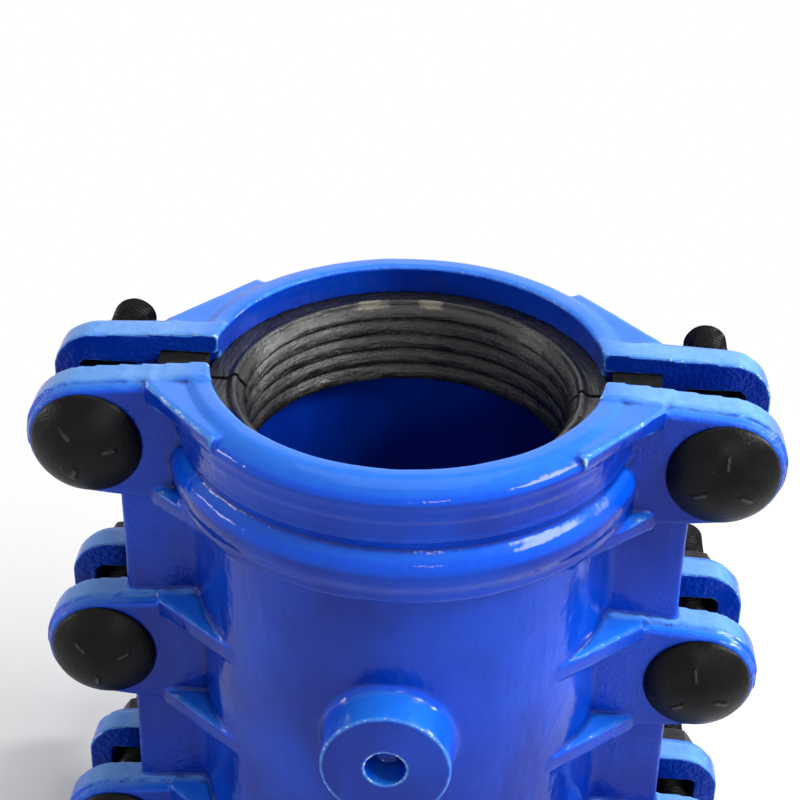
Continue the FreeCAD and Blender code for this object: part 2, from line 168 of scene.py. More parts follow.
def looked_at(tree: NodeTree) -> NodeSocket:
    """1 for the rays of the camera, the gloss and transmission, and 0 for light that falls on the object."""
    paths = tree.nodes.new("ShaderNodeLightPath")
    seen = paths.outputs["Is Camera Ray"]
    for other in ("Is Glossy Ray", "Is Transmission Ray"):
        either = tree.nodes.new("ShaderNodeMath")
        either.operation = "MAXIMUM"
        tree.links.new(seen, either.inputs[0])
        tree.links.new(paths.outputs[other], either.inputs[1])
        seen = either.outputs[0]
    return seen


class Graph:
    """Builds the nodes of one material."""

    def __init__(self, name: str) -> None:
        """Starts a material of this name that has only an output."""
        self.material = bpy.data.materials.new(name)
        self.material.use_nodes = True
        self.tree = self.material.node_tree
        self.tree.nodes.clear()
        self.output = self.node("ShaderNodeOutputMaterial")

    def node(self, kind: str, settings: dict | None = None, inputs: dict | None = None) -> Node:
        """Adds one node, with settings on it first and then plain or linked inputs by socket name or index."""
        made = self.tree.nodes.new(kind)
        for key, value in (settings or {}).items():
            setattr(made, key, value)
        for key, value in (inputs or {}).items():
            if isinstance(value, Value):
                self.tree.links.new(value.socket, made.inputs[key])
            else:
                made.inputs[key].default_value = value
        return made

    def value(self, output: int | str, kind: str, *rest: dict | None) -> Value:
        """Adds one node as above and returns one of its outputs."""
        return Value(self, self.node(kind, *rest).outputs[output])

    def math(self, operation: str, a: Number, b: Number) -> Value:
        """One Math node on two values."""
        return self.value(0, "ShaderNodeMath", {"operation": operation}, {0: a, 1: b})

    def place(self, scale: Point, painted: str = "") -> Value:
        """The object's own coordinates, or those painted on its vertices, stretched by scale along each axis."""
        if painted:
            raw = self.value("Vector", "ShaderNodeAttribute", {"attribute_name": painted})
        else:
            raw = self.value("Object", "ShaderNodeTexCoord")
        return self.value(0, "ShaderNodeMapping", None, {"Vector": raw, "Scale": scale})

    def reach(self, axes: Point) -> Value:
        """Distance from the origin in metres, with each axis counted by its share."""
        return self.value("Value", "ShaderNodeVectorMath", {"operation": "LENGTH"}, {0: self.place(axes)})

    def noise(self, grain: Grain, painted: str = "") -> Value:
        """Cloudy noise from 0 to 1, over the object or over painted coordinates."""
        where = self.place(grain.stretch, painted)
        inputs = {"Vector": where, "Scale": 1.0 / grain.size, "Detail": grain.octaves, "Roughness": grain.strength}
        return self.value("Fac", "ShaderNodeTexNoise", None, inputs)

    def specks(self, spacing: float) -> Value:
        """Distance to the nearest of many scattered points, in units of their spacing."""
        inputs = {"Vector": self.place(UNSTRETCHED), "Scale": 1.0 / spacing, "Randomness": 1.0}
        return self.value("Distance", "ShaderNodeTexVoronoi", None, inputs)

    def attribute(self, name: str) -> Value:
        """A value painted on the mesh's vertices."""
        return self.value("Fac", "ShaderNodeAttribute", {"attribute_name": name})

    def band(self, value: Number, span: Span) -> Value:
        """Runs smoothly from 0 at the span's first number to 1 at its second, which may be the smaller."""
        inputs = {"Value": value, "From Min": span[0], "From Max": span[1]}
        return self.value(0, "ShaderNodeMapRange", {"interpolation_type": "SMOOTHSTEP", "clamp": True}, inputs)

    def coat(
        self, under: "Colour | Value", layer: Layer, value: Value, breakup: Number = 0.0, within: Value | None = None
    ) -> Value:
        """Lays a layer over a colour where the value has run over its span, broken up by noise, within a mask."""
        mask = self.band(value, layer.span)
        if within is not None:
            mask = mask * within
        mask = mask * (layer.share + breakup * layer.broken)
        below = under if isinstance(under, Value) else (*under, 1.0)
        return self.value(2, "ShaderNodeMix", {"data_type": "RGBA"}, {0: mask, 6: below, 7: (*layer.colour, 1.0)})

    def bump(self, height: Value, depth: float, under: Value | None = None) -> Value:
        """Normal of a surface that rises by depth, in metres, where height is 1, over a coarser normal."""
        inputs = {"Height": height, "Distance": depth, "Strength": 1.0}
        if under is not None:
            inputs["Normal"] = under
        return self.value(0, "ShaderNodeBump", None, inputs)

    def show(self, surface: Node) -> Material:
        """Joins a shader to the output and returns the material."""
        self.tree.links.new(surface.outputs[0], self.output.inputs["Surface"])
        return self.material

    def finish(self, colour: Value, rough: Value, normal: Value, specular: float) -> Material:
        """Shows a principled surface with these inputs and returns the material."""
        inputs = {"Base Color": colour, "Roughness": rough, "Normal": normal, "Specular IOR Level": specular}
        return self.show(self.node("ShaderNodeBsdfPrincipled", None, inputs))


# Finishes


@dataclass(frozen=True)
class Enamel:
    """Glossy blue enamel, poured over a rough sand casting, paler along its edges from worn paint together with a
    painted highlight.
    """

    deep: Colour = (0.001, 0.024, 0.330)
    patches: Layer = Layer((0.001, 0.056, 0.560), (0.35, 0.65))
    patch_grain: Grain = Grain(0.060, 2.0)
    strokes: Layer = Layer((0.001, 0.056, 0.560), (0.45, 0.75), 0.35)
    stroke_grain: Grain = Grain(0.010, 4.0, stretch=(1.0, 1.0, 0.2))
    # Painted light: these three layers make up-facing faces lighter and paler than the walls, standing in for light
    # from above and the sky's reflection; the third is laid only on the rim slabs' tops.
    lively: Layer = Layer((0.001, 0.098, 0.860), (0.02, 0.45), 0.7, 0.5)
    pale: Layer = Layer((0.020, 0.210, 0.820), (0.55, 1.0), 0.45, 0.6)
    frosted: Layer = Layer((0.150, 0.400, 0.840), (0.55, 1.0), 0.2, 1.0)
    # Painted shade with pooled paint: a much darker blue in hollows and corners.
    pooled: Layer = Layer((0.001, 0.010, 0.170), (0.15, 0.95), 0.7)
    # Worn paint together with a painted highlight: paler blue along convex edges, broken up by noise.
    worn: Layer = Layer((0.080, 0.340, 0.900), (0.80, 1.25), 0.7)
    worn_breakup: float = 0.4
    chipped: Layer = Layer((0.50, 0.68, 0.85), (1.50, 1.60))
    chip_grain: Grain = Grain(0.0022, 4.0, 0.7)
    breakup_grain: Grain = Grain(0.004, 5.0, 0.65)
    flank_span: Span = (0.062, 0.082)
    slab_span: Span = (0.0215, 0.0185)
    coarse_grain: Grain = Grain(0.008, stretch=(1.0, 1.0, 0.5))
    coarse_depth: float = 0.0005
    sand_patches: Grain = Grain(0.030, 2.0)
    sand_span: Span = (0.35, 0.58)
    sand_grain: Grain = Grain(0.0019, 3.0, 0.6)
    sand_depth: float = 0.0008
    least_sand: float = 0.08
    smooth_top: float = 0.85
    gloss: float = 0.09
    dull_span: Span = (0.40, 0.80)
    dull_rise: float = 0.11
    chip_rise: float = 0.4
    specular: float = 0.23

    def material(self) -> Material:
        """Blue that drifts in patches, lighter and paler on level tops as painted light, darker in hollows as painted
        shade with pooled paint, paler on edges as worn paint with a painted highlight, and chipped in spots.
        """
        g = Graph("blue_enamel")
        edge, top = g.attribute(EDGE), g.attribute(TOP)
        breakup = g.noise(self.breakup_grain)
        chips = edge + g.noise(self.chip_grain)
        flanks = g.band(g.reach((1.0, 0.0, 0.0)), self.flank_span)
        slabs = g.band(g.reach((0.0, 1.0, 0.0)), self.slab_span) * flanks
        colour = g.coat(self.deep, self.patches, g.noise(self.patch_grain))
        colour = g.coat(colour, self.strokes, g.noise(self.stroke_grain))
        # Painted light and painted highlight on up-facing faces: lighter blue, then paler, then palest on the rim
        # slabs, by the top number.
        colour = g.coat(colour, self.lively, top, breakup)
        colour = g.coat(colour, self.pale, top, breakup)
        colour = g.coat(colour, self.frosted, top, breakup, within=slabs)
        # Painted shade with pooled paint: darker blue where the pit number is high, in hollows and corners.
        colour = g.coat(colour, self.pooled, g.attribute(PIT))
        # Worn paint together with a painted highlight: paler blue on convex edges.
        colour = g.coat(colour, self.worn, edge + breakup * self.worn_breakup)
        colour = g.coat(colour, self.chipped, chips)
        rough = self.gloss + g.band(breakup, self.dull_span) * self.dull_rise
        rough = rough + g.band(chips, self.chipped.span) * self.chip_rise
        smooth_tops = 1.0 - g.band(top, self.pale.span) * self.smooth_top
        sandy = g.band(g.noise(self.sand_patches), self.sand_span) * flanks
        sand = g.noise(self.sand_grain) * (self.least_sand + sandy * (1.0 - self.least_sand)) * smooth_tops
        coarse = g.bump(g.noise(self.coarse_grain) * smooth_tops, self.coarse_depth)
        return g.finish(colour, rough, g.bump(sand, self.sand_depth, coarse), self.specular)


@dataclass(frozen=True)
class Rubber:
    """Moulded black rubber of the end rings, with dusty places."""

    name: str = "ring_rubber"
    painted: str = ROUND
    dark: Colour = (0.005, 0.005, 0.005)
    streaked: Layer = Layer((0.018, 0.017, 0.016), (0.35, 0.75))
    streak_grain: Grain = Grain(0.0022, 5.0, 0.65, (0.12, 1.0, 1.0))
    streak_depth: float = 0.00055
    dusty: Layer = Layer((0.22, 0.20, 0.15), (0.72, 0.92), 0.4)
    smeared: Layer = Layer((0.22, 0.20, 0.15), (0.80, 1.05), 0.8)
    smear_breakup: float = 0.9
    spot_grain: Grain = Grain(0.006, 5.0, 0.7)
    scuff_grain: Grain = Grain(0.003, 5.0, 0.7, (0.5, 1.0, 1.0))
    scuff_span: Span = (0.35, 0.75)
    scuff_depth: float = 0.0004
    scuff_rise: float = 0.2
    dust_rise: float = 0.3
    gloss: float = 0.22
    specular: float = 0.5

    def material(self) -> Material:
        """Black with long streaks, dust where the noise is high or a smear is painted, and fine moulding marks."""
        g = Graph(self.name)
        streaks = g.noise(self.streak_grain, self.painted)
        scuffs = g.noise(self.scuff_grain, self.painted)
        spots = g.noise(self.spot_grain)
        colour = g.coat(self.dark, self.streaked, streaks)
        colour = g.coat(colour, self.dusty, spots)
        colour = g.coat(colour, self.smeared, g.attribute(PIT) + spots * self.smear_breakup)
        rough = self.gloss + g.band(scuffs, self.scuff_span) * self.scuff_rise
        rough = rough + g.band(spots, self.dusty.span) * self.dust_rise
        normal = g.bump(scuffs, self.scuff_depth, g.bump(streaks, self.streak_depth))
        return g.finish(colour, rough, normal, self.specular)


STRIP_GRAINS = {"streak_grain": Grain(0.004, 5.0, 0.6, (1.0, 1.0, 0.15)), "scuff_grain": Grain(0.003, 5.0, 0.7)}
STRIP_RUBBER = Rubber("strip_rubber", painted="", gloss=0.6, specular=0.15, **STRIP_GRAINS)


@dataclass(frozen=True)
class BlackOxide:
    """Black oxide on the forged bolts, a little oily, rubbed paler where a mark stands up."""

    name: str = "bolt_steel"
    dark: Colour = (0.0015, 0.0015, 0.002)
    clouded: Layer = Layer((0.006, 0.006, 0.007), (0.35, 0.7))
    cloud_grain: Grain = Grain(0.010, 4.0)
    cloud_depth: float = 0.0004
    pitted: Layer = Layer((0.090, 0.090, 0.092), (0.08, 0.04))
    pit_spacing: float = 0.0042
    pit_clouds: Span = (0.50, 0.62)
    rubbed: Layer = Layer((0.090, 0.090, 0.092), (1.00, 1.35), 0.6)
    rub_breakup: float = 0.6
    fine_grain: Grain = Grain(0.0011, 3.0, 0.6)
    fine_depth: float = 0.00016
    dull_span: Span = (0.3, 0.8)
    dull_rise: float = 0.2
    gloss: float = 0.28
    specular: float = 0.13

    def material(self) -> Material:
        """Soft black clouds, small pits from forging, and a paler rub where a mark stands up."""
        g = Graph(self.name)
        clouds, fine = g.noise(self.cloud_grain), g.noise(self.fine_grain)
        colour = g.coat(self.dark, self.clouded, clouds)
        colour = g.coat(colour, self.pitted, g.specks(self.pit_spacing), within=g.band(clouds, self.pit_clouds))
        colour = g.coat(colour, self.rubbed, g.attribute(EDGE) + fine * self.rub_breakup)
        rough = self.gloss + g.band(clouds, self.dull_span) * self.dull_rise
        normal = g.bump(fine, self.fine_depth, g.bump(clouds, self.cloud_depth))
        return g.finish(colour, rough, normal, self.specular)


GREY_CLOUDS = Layer((0.05, 0.05, 0.052), (0.35, 0.7))
DULL_OXIDE = BlackOxide("nut_steel", dark=(0.02, 0.02, 0.022), clouded=GREY_CLOUDS, gloss=0.45)


@dataclass(frozen=True)
class Paper:
    """Plain pale studio floor that runs out to white."""

    shade: float = 0.92
    fade_span: Span = (0.14, 0.44)

    def material(self) -> Material:
        """Matt near-white round the object, and for the camera's and the gloss's rays plain white further out."""
        g = Graph("studio_floor")
        share = g.band(g.reach(UNSTRETCHED), self.fade_span) * Value(g, looked_at(g.tree))
        plain = g.value(0, "ShaderNodeBsdfDiffuse", None, {"Color": (self.shade, self.shade, self.shade, 1.0)})
        white = g.value(0, "ShaderNodeEmission", None, {"Color": WHITE, "Strength": 1.0})
        return g.show(g.node("ShaderNodeMixShader", None, {0: share, 1: plain, 2: white}))


# Surfaces from arrays


def ramp(values: Array, start: float, width: float) -> Array:
    """Runs straight from 0 at start to 1 at start + width and stays there; width may be negative."""
    return np.clip((values - start) / width, 0.0, 1.0)


def eased(share: Array) -> Array:
    """Smooths shares from 0 to 1 as 3s^2 - 2s^3."""
    return share * share * (3.0 - 2.0 * share)


def from_axis(points: Array) -> Array:
    """Distance of each point from the pipe's axis."""
    return np.hypot(points[:, 0], points[:, 1])


def full_turn(columns: int) -> Array:
    """Angles that share a full turn evenly."""
    return np.linspace(0.0, TURN, columns, endpoint=False)


def hashed(cell: Array, seed: int) -> Array:
    """Repeatable random values from -1 to 1 for whole-number lattice points, one per row of cell."""
    mixed = seed * SEED_PRIME
    for k, prime in enumerate(AXIS_PRIMES):
        mixed = mixed ^ (cell[:, k] * prime)
    mixed = (mixed ^ (mixed >> 13)) * MIXING_PRIME
    mixed = (mixed ^ (mixed >> 16)) & 0xFFFFF
    return mixed / float(0x7FFFF) - 1.0


def lumps(points: Array, grain: float, seed: int) -> Array:
    """Smooth noise from -1 to 1: random values on a lattice of spacing grain, blended by 3f^2 - 2f^3 in each axis."""
    scaled = points / grain
    base = np.floor(scaled).astype(np.int64)
    part = eased(scaled - base)
    total = np.zeros(len(points))
    for corner in np.ndindex(2, 2, 2):
        weight = np.prod(np.where(np.array(corner), part, 1.0 - part), axis=1)
        total += weight * hashed(base + np.array(corner), seed)
    return total


def rounded(corners: Array, radius: float, steps: int = 5, most: float = 0.45) -> Array:
    """Closed outline with each corner C replaced by the curve (1-t)^2 A + 2t(1-t) C + t^2 B, where A and B lie on
    its two sides, a radius away, but by no more than a share of the shorter side.
    """
    before = np.roll(corners, 1, axis=0) - corners
    after = np.roll(corners, -1, axis=0) - corners
    near = np.linalg.norm(before, axis=1, keepdims=True)
    far = np.linalg.norm(after, axis=1, keepdims=True)
    reach = np.minimum(radius, most * np.minimum(near, far))
    start = corners + before / near * reach
    end = corners + after / far * reach
    t = np.linspace(0.0, 1.0, steps)[None, :, None]
    curve = (1 - t) ** 2 * start[:, None] + 2 * t * (1 - t) * corners[:, None] + t**2 * end[:, None]
    return curve.reshape(-1, corners.shape[1])


def evenly(outline: Array, step: float) -> Array:
    """Points at equal steps of arc length round a closed outline."""
    closed = np.vstack([outline, outline[:1]])
    length = np.concatenate([[0.0], np.cumsum(np.linalg.norm(np.diff(closed, axis=0), axis=1))])
    at = np.linspace(0.0, length[-1], int(round(length[-1] / step)), endpoint=False)
    return np.stack([np.interp(at, length, closed[:, k]) for k in range(outline.shape[1])], axis=1)


def signed_volume(points: Array, faces: Faces) -> float:
    """Volume inside the faces: the sum of a . (b x c) / 6 over each face's fan of triangles."""
    total = 0.0
    by_size: dict[int, Faces] = {}
    for face in faces:
        by_size.setdefault(len(face), []).append(face)
    for size, group in by_size.items():
        index = np.array(group)
        for k in range(1, size - 1):
            a, b, c = points[index[:, 0]], points[index[:, k]], points[index[:, k + 1]]
            total += float(np.einsum("ij,ij->", a, np.cross(b, c)))
    return total / 6.0


def grid_faces(rows: int, columns: int, closed: bool) -> Faces:
    """Faces of a grid of rings: closed joins the last ring to the first, otherwise both get one face each."""
    index = np.arange(rows * columns).reshape(rows, columns)
    index = np.hstack([index, index[:, :1]])
    if closed:
        index = np.vstack([index, index[:1]])
    quads = np.stack([index[:-1, :-1], index[1:, :-1], index[1:, 1:], index[:-1, 1:]], axis=-1)
    faces = quads.reshape(-1, 4).tolist()
    if not closed:
        faces.append(index[0, :-1].tolist())
        faces.append(index[-1, :-1][::-1].tolist())
    return faces


# Blender objects


def placed(name: str, data: ID) -> Object:
    """A new object in the scene, at the origin."""
    made = bpy.data.objects.new(name, data)
    bpy.context.scene.collection.objects.link(made)
    return made


def new_mesh(name: str, points: Array, faces: Faces, sharp: float | None = None) -> Object:
    """Makes an object from points in the CAD frame, in millimetres, with its faces turned outwards; edges that turn
    by more than sharp degrees stay crisp, and None smooths them all.
    """
    if signed_volume(points, faces) < 0:
        faces = [face[::-1] for face in faces]
    mesh = bpy.data.meshes.new(name)
    mesh.from_pydata(points * MM, [], faces)
    mesh.update()
    mesh.polygons.foreach_set("use_smooth", np.ones(len(mesh.polygons), bool))
    if sharp is not None:
        mesh.set_sharp_from_angle(angle=math.radians(sharp))
    return placed(name, mesh)


def paint(piece: Object, name: str, values: Array) -> None:
    """Writes one number, or one vector, per point on the piece's mesh."""
    is_vector = values.ndim == 2
    attribute = piece.data.attributes.new(name, "FLOAT_VECTOR" if is_vector else "FLOAT", "POINT")
    attribute.data.foreach_set("vector" if is_vector else "value", values.astype(np.float32).ravel())


def column(data: bpy_prop_collection, key: str, width: int, kind: type = np.float32) -> Array:
    """One property of every item, as rows of width numbers."""
    values = np.empty(len(data) * width, kind)
    data.foreach_get(key, values)
    return values.reshape(-1, width)


def baked(piece: Object) -> Mesh:
    """The piece's mesh with its modifiers worked in."""
    return bpy.data.meshes.new_from_object(piece.evaluated_get(bpy.context.evaluated_depsgraph_get()))


def dress(piece: Object, body: str, material: Material, node: str) -> None:
    """Gives a piece its finish and the body that it rides on, and hides its CAD node."""
    piece.data.materials.clear()
    piece.data.materials.append(material)
    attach(piece, body)
    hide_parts(node)
    log.info("%s: %d faces for %s", piece.name, len(piece.data.polygons), node)


# Castings


@dataclass(frozen=True)
class Casting:
    """One half of the sleeve: an even skin over the CAD solid, softened and made uneven like a painted casting.

    Lengths are in millimetres. A pair named ramp holds the start and the width of a ramp.
    """

    half: Half
    half_length: float = 115.0
    weld: float = 0.001
    voxel: float = 0.75
    budget: int = 192000
    soften_rounds: int = 5
    soften_shares: Span = (0.55, -0.50)
    swell: tuple[Span, ...] = ((14.0, 0.16), (6.0, 0.06))
    wide_rounds: int = 8
    stand_rounds: int = 2
    blur_share: float = 0.5
    full_stand: float = 0.22
    top_ramp: Span = (0.05, 0.9)
    rim_face: float = 19.0
    rim_rise: float = 0.7
    rim_step: float = 0.8
    land_inner: float = 66.0
    land_outer_ramp: Span = (86.0, -9.0)
    land_height_ramp: Span = (112.5, 1.5)
    land_fade: float = 22.0
    collar_inner_ramp: Span = (77.0, 1.5)
    collar_outer_ramp: Span = (86.0, -1.5)
    collar_fade: float = 7.0
    depths: tuple[float, ...] = (0.0, 2.5, 5.0, 6.5, 8.5, 18.5, 20.5, 24.5, 27.0, 31.0, 35.0, 37.5, 39.0, 42.5, 44.0)
    shifts: tuple[float, ...] = (0.0, 0.3, 0.3, 0.0, -0.9, -0.9, 0.0, 0.0, 0.8, 0.9, 0.4, -0.6, -0.9, -0.9, 0.0)
    flash_rise: float = 0.45
    flash_width: float = 0.7
    flash_grain: float = 3.2
    flash_level: float = 0.35
    flash_broken: float = 0.9
    flash_ramp: Span = (80.0, 4.0)

    @property
    def node(self) -> str:
        """Name of the CAD node."""
        return f"{self.half.word}_shell"

    def skin(self) -> tuple[Array, Array, Array]:
        """Points, quads and edges of an even skin over the CAD node, in millimetres."""
        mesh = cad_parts[self.node].data.copy()
        merged = bmesh.new()
        merged.from_mesh(mesh)
        bmesh.ops.remove_doubles(merged, verts=merged.verts, dist=self.weld * MM)
        merged.to_mesh(mesh)
        merged.free()
        holder = placed("holder", mesh)
        even = holder.modifiers.new("even", "REMESH")
        even.mode = "VOXEL"
        even.voxel_size = self.voxel * MM
        found = baked(holder)
        points = column(found.vertices, "co", 3).astype(float) / MM
        quads = column(found.loops, "vertex_index", 1, np.int32).reshape(-1, 4)
        edges = column(found.edges, "vertices", 2, np.int32)
        bpy.data.objects.remove(holder)
        bpy.data.meshes.remove(found)
        bpy.data.meshes.remove(mesh)
        return points, quads, edges

    @staticmethod
    def relaxed(values: Array, edges: Array, share: float) -> Array:
        """Moves each point's values by a share of the way to the mean of its neighbours along the edges."""
        ends = edges.ravel()
        others = values[edges[:, ::-1].ravel()]
        count = np.bincount(ends, minlength=len(values))[:, None]
        sums = [np.bincount(ends, weights=others[:, k], minlength=len(values)) for k in range(values.shape[1])]
        return values + share * (np.stack(sums, axis=1) / np.maximum(count, 1) - values)

    @staticmethod
    def normals(points: Array, faces: Array) -> Array:
        """Unit normals at the points: each quad adds the cross product of its diagonals to its corners."""
        cross = np.cross(points[faces[:, 2]] - points[faces[:, 0]], points[faces[:, 3]] - points[faces[:, 1]])
        total = np.zeros_like(points)
        for k in range(3):
            total[:, k] = np.bincount(faces.ravel(), weights=np.repeat(cross[:, k], 4), minlength=len(points))
        return total / np.maximum(np.linalg.norm(total, axis=1, keepdims=True), 1e-9)

    def lowered_land(self, points: Array) -> Array:
        """Sinks the rims' flat lands by rim_rise beside the parting rim, fading round the ring as 1 - 3s^2 + 2s^3."""
        radius = from_axis(points)
        depth, height = np.abs(points[:, 1]), np.abs(points[:, 2])
        beyond = ramp(depth, self.rim_face, self.rim_step)
        fade = 1.0 - eased(ramp(depth, self.rim_face, self.land_fade))
        near = (radius > self.land_inner) * ramp(radius, *self.land_outer_ramp)
        drop = self.rim_rise * beyond * fade * ramp(height, *self.land_height_ramp) * near
        lowered = points.copy()
        lowered[:, 2] -= np.sign(points[:, 2]) * drop
        return lowered

    def rolled(self, points: Array) -> Array:
        """Moves the collar's outer wall by shifts, read off at the depth below the end face, less towards its sides."""
        radius = from_axis(points)
        shift = np.interp(self.half_length - np.abs(points[:, 2]), self.depths, self.shifts)
        share = ramp(radius, *self.collar_inner_ramp) * ramp(radius, *self.collar_outer_ramp)
        share = share * ramp(np.abs(points[:, 1]), self.rim_face, self.collar_fade)
        moved = points.copy()
        moved[:, :2] *= (1 + shift * share / np.maximum(radius, 1.0))[:, None]
        return moved

    def flash(self, points: Array) -> Array:
        """Height of the ears' ragged flash line: rise times exp(-((|y| - rim) / width)^2), broken up by noise."""
        ridge = np.exp(-(((np.abs(points[:, 1]) - self.rim_face) / self.flash_width) ** 2))
        noise = lumps(points, self.flash_grain, FLASH_SEED)
        ragged = np.clip(self.flash_level + self.flash_broken * noise, 0.0, 1.0)
        return self.flash_rise * ridge * ragged * ramp(from_axis(points), *self.flash_ramp)

    def uneven(self, points: Array, faces: Array, edges: Array) -> Array:
        """Moves points towards and then away from their neighbours' mean, and lifts them by noise and flash."""
        for _ in range(self.soften_rounds):
            for share in self.soften_shares:
                points = self.relaxed(points, edges, share)
        normal = self.normals(points, faces)
        for seed, (grain, rise) in enumerate(self.swell, start=1):
            points = points + normal * (rise * lumps(points, grain, seed))[:, None]
        return points + normal * self.flash(points)[:, None]

    def stand(self, points: Array, normal: Array, edges: Array) -> Array:
        """How far each point stands out of its surroundings: its height over the same skin much blurred."""
        wide = points
        for _ in range(self.wide_rounds):
            wide = self.relaxed(wide, edges, self.blur_share)
        height = ((points - wide) * normal).sum(axis=1)[:, None]
        for _ in range(self.stand_rounds):
            height = self.relaxed(height, edges, self.blur_share)
        return height[:, 0]

    def build(self, material: Material) -> Object:
        """Shapes and paints the full skin, thins it to the budget and gives what is left the full skin's normals."""
        points, faces, edges = self.skin()
        points = self.uneven(self.rolled(self.lowered_land(points)), faces, edges)
        normal = self.normals(points, faces)
        stand = self.stand(points, normal, edges)
        full = new_mesh("full_skin", points, faces.tolist())
        # These numbers drive the enamel's paler edges (worn paint with a painted highlight), painted shade in hollows
        # and painted light on up-facing faces.
        paint(full, EDGE, ramp(stand, 0.0, self.full_stand))
        paint(full, PIT, ramp(stand, 0.0, -self.full_stand))
        paint(full, TOP, ramp(normal[:, 2], *self.top_ramp))
        paint(full, NORMAL, normal)
        thin = full.modifiers.new("thin", "DECIMATE")
        thin.ratio = self.budget / (2 * len(faces))
        mesh = baked(full)
        kept = column(mesh.attributes[NORMAL].data, "vector", 3)
        mesh.attributes.remove(mesh.attributes[NORMAL])
        mesh.normals_split_custom_set_from_vertices(kept / np.linalg.norm(kept, axis=1, keepdims=True))
        mesh.name = f"{self.half.word}_casting"
        piece = placed(mesh.name, mesh)
        spent = full.data
        bpy.data.objects.remove(full)
        bpy.data.meshes.remove(spent)
        dress(piece, self.half.body, material, self.node)
        return piece


# Rubber parts


@dataclass(frozen=True)
class EndGasket:
    """Half of a ribbed end ring: a section with leaning ribs, carried round the pipe's axis to the slit."""

    half: Half
    upper: bool
    bore: float = 55.5
    outer: float = 69.6
    top: float = 103.5
    bottom: float = 73.5
    lip_rise: float = 1.7
    lip_setback: float = 3.2
    lip_base: float = 3.0
    lip_tip: float = 1.2
    lip_slope: float = 1.8
    slit: float = 2.0
    ribs: int = 5
    rib_points: int = 9
    rib_clearance: float = 0.05
    crown: float = 2.5
    groove_width: float = 0.8
    groove_depth: float = 0.7
    corner: float = 0.5
    corner_steps: int = 4
    step: float = 0.42
    stations: int = 210
    sag: Span = (9.0, 0.25)
    sag_stretch: Point = (1.0, 1.0, 2.2)
    pucker: Span = (3.0, 0.16)
    uneven_wall: float = 6.0
    uneven_radius: float = 0.010
    uneven_height: float = 0.4
    smears: tuple[Span, ...] = ((-17.5, 11.0), (5.0, 9.0))
    smear_land: Span = (2.0, 7.5)
    smear_depth: float = 0.8
    smear_level: float = 0.80
    sharp: float = 50.0

    def section(self) -> Array:
        """Radius and height of the ring's outline: flat top, sloping lip, then ribs whose faces lean inwards
        going down, at the bore's radius plus crown times u^2 for u from 1 at a rib's top to 0 at its foot,
        and a narrow groove between each two.
        """
        lip = self.top + self.lip_rise
        base = self.bore + self.lip_setback
        groove = self.bore + self.crown + self.groove_depth
        pitch = (lip - self.bottom) / self.ribs
        u = np.linspace(1.0, 0.0, self.rib_points)
        points = [(self.outer, self.bottom), (self.outer, self.top)]
        points += [(base + self.lip_base, self.top), (base + self.lip_tip, lip), (base, lip)]
        for i in range(self.ribs):
            first, last = i == 0, i == self.ribs - 1
            high = lip - self.lip_slope if first else lip - i * pitch - self.groove_width / 2
            low = self.bottom if last else lip - (i + 1) * pitch + self.groove_width / 2
            height = low + (high - low) * u
            points += list(zip(self.bore + self.rib_clearance + self.crown * u**2, height))
            if not last:
                points += [(groove, low - share * self.groove_width) for share in (0.25, 0.75)]
        return evenly(rounded(np.array(points), self.corner, self.corner_steps), self.step)

    def build(self, material: Material) -> Object:
        """Turns the section from one slit plane to the other: the end angle at radius r is asin(slit / 2r)."""
        section = self.section()
        radius, height = section[:, 0], section[:, 1]
        edge = np.arcsin(0.5 * self.slit / radius)
        angle = edge + np.linspace(0.0, 1.0, self.stations)[:, None] * (math.pi - 2 * edge)
        x = radius * np.cos(angle)
        y = self.half.value * radius * np.sin(angle)
        flat = np.stack([x, y, np.broadcast_to(height, angle.shape)], axis=-1).reshape(-1, 3)
        seed = GASKET_SEED + self.half.value
        lift = self.sag[1] * lumps(flat * np.array(self.sag_stretch), self.sag[0], seed)
        lift = lift + self.pucker[1] * lumps(flat, self.pucker[0], seed + 3)
        inward = ramp(from_axis(flat), self.outer, -self.uneven_wall)
        flat[:, :2] *= (1 + self.uneven_radius * np.abs(lift) * inward)[:, None]
        flat[:, 2] += self.uneven_height * lift * inward
        marks = self.marks(flat)
        around = (angle * radius).ravel()
        travelled = np.broadcast_to(np.arange(len(section)) * self.step, angle.shape).ravel()
        if not self.upper:
            flat[:, 2] *= -1
        name = f"{self.half.word}_gasket_{'upper' if self.upper else 'lower'}"
        faces = grid_faces(self.stations, len(section), closed=False)
        piece = new_mesh(f"{name}_rubber", flat, faces, self.sharp)
        paint(piece, ROUND, np.stack([around, travelled, np.zeros_like(around)], axis=1) * MM)
        paint(piece, PIT, marks)
        dress(piece, self.half.body, material, name)
        return piece

    def marks(self, points: Array) -> Array:
        """Two chalky smears on top of the back upper ring, each falling from 1 at its middle in X to 0 at its reach."""
        if self.half is not Half.BACK or not self.upper:
            return np.zeros(len(points))
        inner, outer = (self.bore + edge for edge in self.smear_land)
        radius = from_axis(points)
        on_top = (points[:, 2] > self.top - self.smear_depth) & (radius > inner) & (radius < outer)
        smears = [ramp(np.abs(points[:, 0] - middle), reach, -reach) for middle, reach in self.smears]
        return self.smear_level * np.maximum(*smears) * on_top


